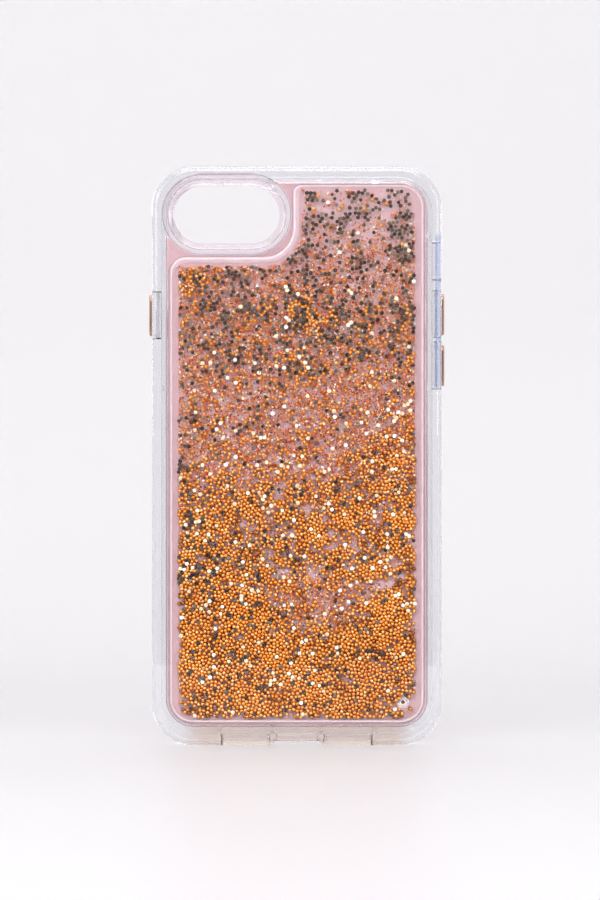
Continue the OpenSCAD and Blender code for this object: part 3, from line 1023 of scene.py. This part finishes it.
def inside(x, z, margin):
    """True where a grain of that radius lies within the liquid's outline."""
    left, right = liquid_low.x + margin, liquid_high.x - margin
    low, high = liquid_low.z + margin, liquid_high.z - margin
    fits = (x > left) & (x < right) & (z > low) & (z < high)
    beside = (x < STEP_X + margin) & (z > STEP_Z - margin)
    centre_x, centre_z = STEP_X - STEP_R, STEP_Z + STEP_R
    near = (x > centre_x) & (z < centre_z)
    away = np.hypot(x - centre_x, z - centre_z) > STEP_R + margin
    fits &= ~beside | (near & away)
    bottom, top = liquid_low.z + LIQUID_R, liquid_high.z - LIQUID_R
    for side, up, corner_z in ((-1, -1, bottom), (1, -1, bottom), (1, 1, top)):
        corner_x = side * (liquid_high.x - LIQUID_R)
        out = (side * (x - corner_x) > 0) & (up * (z - corner_z) > 0)
        fits &= ~(out & (np.hypot(x - corner_x, z - corner_z) > LIQUID_R - margin))
    return fits


def sow(share, area, margin, most):
    """Random places whose density follows a share of the view, for grains of that area."""
    wide, high = liquid_high.x - liquid_low.x, liquid_high.z - liquid_low.z
    count = int(wide * high * most / area)
    x = dice.uniform(liquid_low.x, liquid_high.x, count)
    z = dice.uniform(liquid_low.z, liquid_high.z, count)
    keep = (dice.uniform(0, most, count) < share(x, z)) & inside(x, z, margin)
    return np.stack([x[keep], z[keep]], axis=1)


def settle(points, radii, rounds):
    """Pushes overlapping grains apart, so that they pack as round grains do."""
    points = points.copy()
    reach = float(radii.max())
    for _ in range(rounds):
        tree = kdtree.KDTree(len(points))
        for i, (x, z) in enumerate(points):
            tree.insert((x, z, 0), i)
        tree.balance()
        push = np.zeros_like(points)
        for i, (x, z) in enumerate(points):
            for _, j, gap in tree.find_range((x, z, 0), radii[i] + reach):
                need = radii[i] + radii[j]
                if j <= i or gap >= need:
                    continue
                away = (points[i] - points[j]) / (gap + 1e-6)
                shift = away * (need - gap) * 0.5
                push[i] += shift
                push[j] -= shift
        moved = points + push
        fits = inside(moved[:, 0], moved[:, 1], 0.3)
        points[fits] = moved[fits]
    return points


def turned(count, most):
    """Random turns: a tilt away from the window of up to most degrees, and any spin."""
    tilt = np.radians(dice.uniform(0, 1, count) ** 1.5 * most)
    lean, spin = dice.uniform(0, 2 * math.pi, (2, count))
    axis_x, axis_z = np.cos(lean), np.sin(lean)
    c, s = np.cos(tilt), np.sin(tilt)
    zero, one = np.zeros(count), np.ones(count)
    around = np.array([
        [np.cos(spin), zero, np.sin(spin)],
        [zero, one, zero],
        [-np.sin(spin), zero, np.cos(spin)],
    ])
    k = 1 - c
    over = np.array([
        [c + axis_x ** 2 * k, -axis_z * s, axis_x * axis_z * k],
        [axis_z * s, c, -axis_x * s],
        [axis_x * axis_z * k, axis_x * s, c + axis_z ** 2 * k],
    ])
    return np.einsum("ijn,jkn->nik", over, around)


def grains(name, pattern, places, turns, sizes, material, most):
    """Copies of a pattern (points, faces) at each place, in pieces of at most that many copies."""
    pattern_points, pattern_faces = pattern
    pieces = []
    for part, first in enumerate(range(0, len(places), most)):
        chosen = slice(first, first + most)
        points = np.einsum("nij,pj->npi", turns[chosen], pattern_points)
        points = points * sizes[chosen][:, None, None] + places[chosen][:, None, :]
        count, size = len(places[chosen]), len(pattern_points)
        faces = pattern_faces[None] + size * np.arange(count)[:, None, None]
        faces = faces.reshape(-1, pattern_faces.shape[1])
        mesh = bpy.data.meshes.new(name)
        mesh.from_pydata((points.reshape(-1, 3) * MM).tolist(), [], faces.tolist())
        mesh.shade_smooth()
        pieces.append(new_piece(f"{name}_{part + 1}", mesh, material))
    return pieces


def ball_pattern():
    """A ball in triangles. They are put in a fixed order, because Blender's own order changes
    from run to run, and the shade that each ball gets hangs on it."""
    work = bmesh.new()
    bmesh.ops.create_uvsphere(work, u_segments=12, v_segments=8, radius=BEAD_R)
    bmesh.ops.triangulate(work, faces=work.faces)
    points = np.array([v.co for v in work.verts])
    faces = []
    for face in work.faces:
        corners = [corner.index for corner in face.verts]
        first = corners.index(min(corners))
        faces.append(corners[first:] + corners[:first])
    work.free()
    return points, np.array(sorted(faces))


def foil_pattern(rings, back, front):
    """A thin foil: rings of points joined by triangles, closed on a back and a front point."""
    sides = len(rings[0])
    points = [back, *(point for ring_points in rings for point in ring_points), front]
    last = 1 + (len(rings) - 1) * sides
    faces = []
    for k in range(sides):
        j = (k + 1) % sides
        faces.append((0, 1 + k, 1 + j))
        for a in range(1, last, sides):
            b = a + sides
            faces += [(a + k, b + k, b + j), (a + k, b + j, a + j)]
        faces.append((last + k, len(points) - 1, last + j))
    return np.array(points), np.array(faces)


def disc_pattern(radius, thick, sides, edge, dish):
    """A foil disc with a chamfered rim and a faint dish."""
    rings = [
        [(r * math.cos(2 * math.pi * k / sides), y, r * math.sin(2 * math.pi * k / sides))
         for k in range(sides)]
        for r, y in (
            (radius * 0.45, dish - thick / 2), (radius - edge, -thick / 2),
            (radius, edge - thick / 2), (radius, thick / 2 - edge),
            (radius - edge, thick / 2), (radius * 0.45, thick / 2 + dish))
    ]
    return foil_pattern(rings, (0, dish * 1.3 - thick / 2, 0), (0, dish * 1.3 + thick / 2, 0))


def shard_pattern():
    """A slightly uneven six-sided flake."""
    thick = 0.04
    rings = [
        [(r * FLAKE_R * math.cos(math.radians(a)), y, r * FLAKE_R * math.sin(math.radians(a)))
         for a, r in ((0, 1), (65, 0.8), (120, 0.95), (175, 0.75), (245, 1), (300, 0.85))]
        for y in (-thick / 2, thick / 2)
    ]
    return foil_pattern(rings, (0, -thick / 2, 0), (0, thick / 2, 0))


def glitter():
    """Every grain in the liquid. The grains in front pack together; a looser layer lies behind."""
    bead_area, disc_area = math.pi * BEAD_R ** 2, math.pi * DISC_R ** 2
    beads = sow(bead_share, bead_area, BEAD_R, 0.97)
    dark_discs = sow(dark_disc_share, disc_area, DISC_R, 0.6)
    bright_discs = sow(bright_disc_share, disc_area, DISC_R, 0.2)
    radii = np.concatenate([
        np.full(len(beads), BEAD_PACK_R), np.full(len(dark_discs) + len(bright_discs), DISC_PACK_R)])
    settled = settle(np.concatenate([beads, dark_discs, bright_discs]), radii, 16)
    beads, dark_discs, bright_discs = np.split(settled, [len(beads), len(beads) + len(dark_discs)])
    behind = sow(lambda x, z: 1.1 * bead_share(x, z) ** 2, bead_area, BEAD_R, 0.72)
    behind = settle(behind, np.full(len(behind), BEAD_PACK_R), 8)
    flakes = sow(flake_share, FLAKE_COVER * math.pi * FLAKE_R ** 2, FLAKE_R, 1.1)

    def placed(flat, nearest, spread):
        """Gives flat places a level between the nearest one and a spread beyond it."""
        level = CHAMBER_BACK + nearest + dice.uniform(0, spread, len(flat))
        filled = np.stack([flat[:, 0], level, flat[:, 1]], axis=1)
        return filled[np.argsort(filled[:, 2])]

    pieces = []
    for name, flat, nearest, spread, material in (
        ("copper_beads", beads, BEAD_R, 0.25, copper),
        # The beads behind get the darker copper, a painted shade.
        ("copper_beads_deep", behind, BEAD_R + 0.45, 0.1, shaded_copper),
    ):
        balls = placed(flat, nearest, spread)
        pieces += grains(
            name, ball_pattern(), balls, turned(len(balls), 180),
            dice.uniform(0.9, 1.0, len(balls)), material, MOST_BALLS)
    disc = disc_pattern(DISC_R, 0.06, 12, 0.02, 0.02)
    # The dark and the bright discs are one mirror foil: near-black is painted reflection, near-white
    # painted highlight.
    for name, flat, material, tilt in (
        ("bronze_discs", dark_discs, bronze, 14), ("gold_discs", bright_discs, pale_gold_painted_glint, 20),
    ):
        flat = placed(flat, 0.2, 0.12)
        pieces += grains(
            name, disc, flat, turned(len(flat), tilt), dice.uniform(0.85, 1.0, len(flat)),
            material, MOST_DISCS)
    flakes = placed(flakes, 0.32, 1.0)
    pieces += grains(
        "fine_flakes", shard_pattern(), flakes, turned(len(flakes), 70),
        0.5 + 0.5 * dice.uniform(0, 1, len(flakes)), copper_foil, MOST_FLAKES)
    return pieces


# ---- Bodies and the CAD nodes that the pieces stand for ----

def belongs(piece, body, slot, *nodes):
    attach(piece, body)
    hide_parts(*nodes)


for piece, body, kind, node in (
    (outer_shell, "shell", "clear_hard", "outer_shell"),
    (back_window, "shell", "clear_hard", "back_window"),
    (camera_surround, "shell", "clear_hard", "camera_surround"),
    (reservoir_wall, "shell", "weld_clear", "reservoir_wall"),
    *((weld, "shell", "weld_clear", "reservoir_wall") for weld in welds),
    (fill_plug, "shell", "weld_clear", "fill_plug"),
    (inner_panel, "shell", "rose_panel", "inner_panel"),
    (liquid_fill, "shell", "liquid", "liquid_fill"),
    (soft_liner, "liner", "clear_soft", "soft_liner"),
):
    belongs(piece, body, kind, node)
for button in ("power_button", "volume_up_button", "volume_down_button"):
    stem = button.replace("_button", "") if "volume" in button else button
    metal_cap, soft_pad = button_pieces(stem)
    belongs(metal_cap, button, "rose_gold_metal", stem + "_cap")
    belongs(soft_pad, button, "clear_soft", stem + "_pad")

SLOTS = {
    "copper_beads": "copper_bead", "bronze_discs": "bronze_foil",
    "gold_discs": "gold_foil", "fine_flakes": "copper_foil",
}
for grain in glitter():
    kind = grain.name.rsplit("_", 1)[0].removesuffix("_deep")
    belongs(grain, "shell", SLOTS[kind], kind)


# ---- Floor, backdrop and light ----

def backdrop():
    """A pale floor that curves up into a wall behind the case. It cannot be seen from behind
    or from below."""
    wide, near, far, bend_r, top = 1500, -340, 330, 120, 1500
    line = [(near, 0), (far - bend_r, 0)]
    line += [
        (far - bend_r + bend_r * math.sin(math.radians(a)), bend_r * (1 - math.cos(math.radians(a))))
        for a in range(6, 90, 6)
    ]
    line += [(far, bend_r), (far, top)]
    points = [(x, y, z) for y, z in line for x in (-wide, wide)]
    faces = [(2 * k, 2 * k + 1, 2 * k + 3, 2 * k + 2) for k in range(len(line) - 1)]
    mesh = mesh_of("floor", points, faces)
    mesh.shade_smooth()
    paint = Paint("pale_floor", **{"Roughness": 0.4, "Specular IOR Level": 0.03})
    rising = paint.spread(paint.places()["Z"], **{"From Max": bend_r * MM})
    paint.feed(
        "Base Color",
        paint.ramp(rising, (0.0, (0.71, 0.695, 0.707)), (1.0, (0.85, 0.832, 0.844))))
    paint.vanish_where(paint.add("NewGeometry").outputs["Backfacing"])
    floor = new_piece("floor", mesh, paint.material)
    floor.location.z = -0.02 * MM
    return floor


backdrop()


def softbox(name, place, aim, size, watts, colour=(1, 1, 1)):
    light = bpy.data.lights.new(name, "AREA")
    light.shape = "RECTANGLE"
    light.size, light.size_y = size
    light.energy = watts
    light.color = colour
    lamp = bpy.data.objects.new(name, light)
    lamp.location = place
    lamp.rotation_euler = (Vector(aim) - Vector(place)).to_track_quat("-Z", "Y").to_euler()
    lamp.visible_camera = False
    bpy.context.scene.collection.objects.link(lamp)


middle = (0, 0, HEIGHT / 2 * MM)
softbox("left", (-0.6, -0.7, 0.36), middle, (0.4, 0.45), 3.0)
softbox("right", (0.62, -0.72, 0.3), middle, (0.35, 0.45), 2.4, (0.95, 0.97, 1))
softbox("above", (0, -0.7, 0.7), middle, (0.55, 0.4), 3.2)
softbox("top", (0, 0.05, 1.0), middle, (0.9, 0.6), 0.9)
softbox("wall_wash", (0, 0.0, 1.1), (0, 0.33, 0.2), (1.2, 0.3), 4.3)


def studio_world():
    """Soft pale surroundings, dimmer on the camera's side."""
    world = bpy.data.worlds.new("studio")
    sky = Nodes(world)
    parts = sky.add("SeparateXYZ")
    sky.link(sky.add("TexCoord").outputs["Generated"], parts.inputs[0])
    depth = sky.spread(parts.outputs["Y"], **{"From Min": -1})
    glow = sky.add("Background")
    sky.link(
        sky.ramp(depth, (0.05, (0.03, 0.033, 0.04)), (0.45, (0.58, 0.585, 0.61))),
        glow.inputs["Color"])
    sky.link(glow.outputs[0], sky.add("OutputWorld").inputs["Surface"])
    bpy.context.scene.world = world


studio_world()

# ---- Camera and picture ----

DISTANCE = 0.9
VIEW_HEIGHT = 0.2233        # how much of the case's plane the picture's long side shows
AIM_X, AIM_Z = 0.0008, 0.0734

camera_data = bpy.data.cameras.new("camera")
camera_data.sensor_width = 36
camera_data.lens = camera_data.sensor_width * DISTANCE / VIEW_HEIGHT
camera = bpy.data.objects.new("camera", camera_data)
camera.location = (AIM_X, BACK * MM - DISTANCE, AIM_Z)
camera.rotation_euler = (math.radians(90), 0, 0)
bpy.context.scene.collection.objects.link(camera)
bpy.context.scene.camera = camera

scene = bpy.context.scene
scene.view_settings.view_transform = "Standard"
scene.cycles.denoising_prefilter = "FAST"
scene.cycles.max_bounces = 16
scene.cycles.transmission_bounces = 16
scene.cycles.transparent_max_bounces = 24
scene.cycles.glossy_bounces = 6
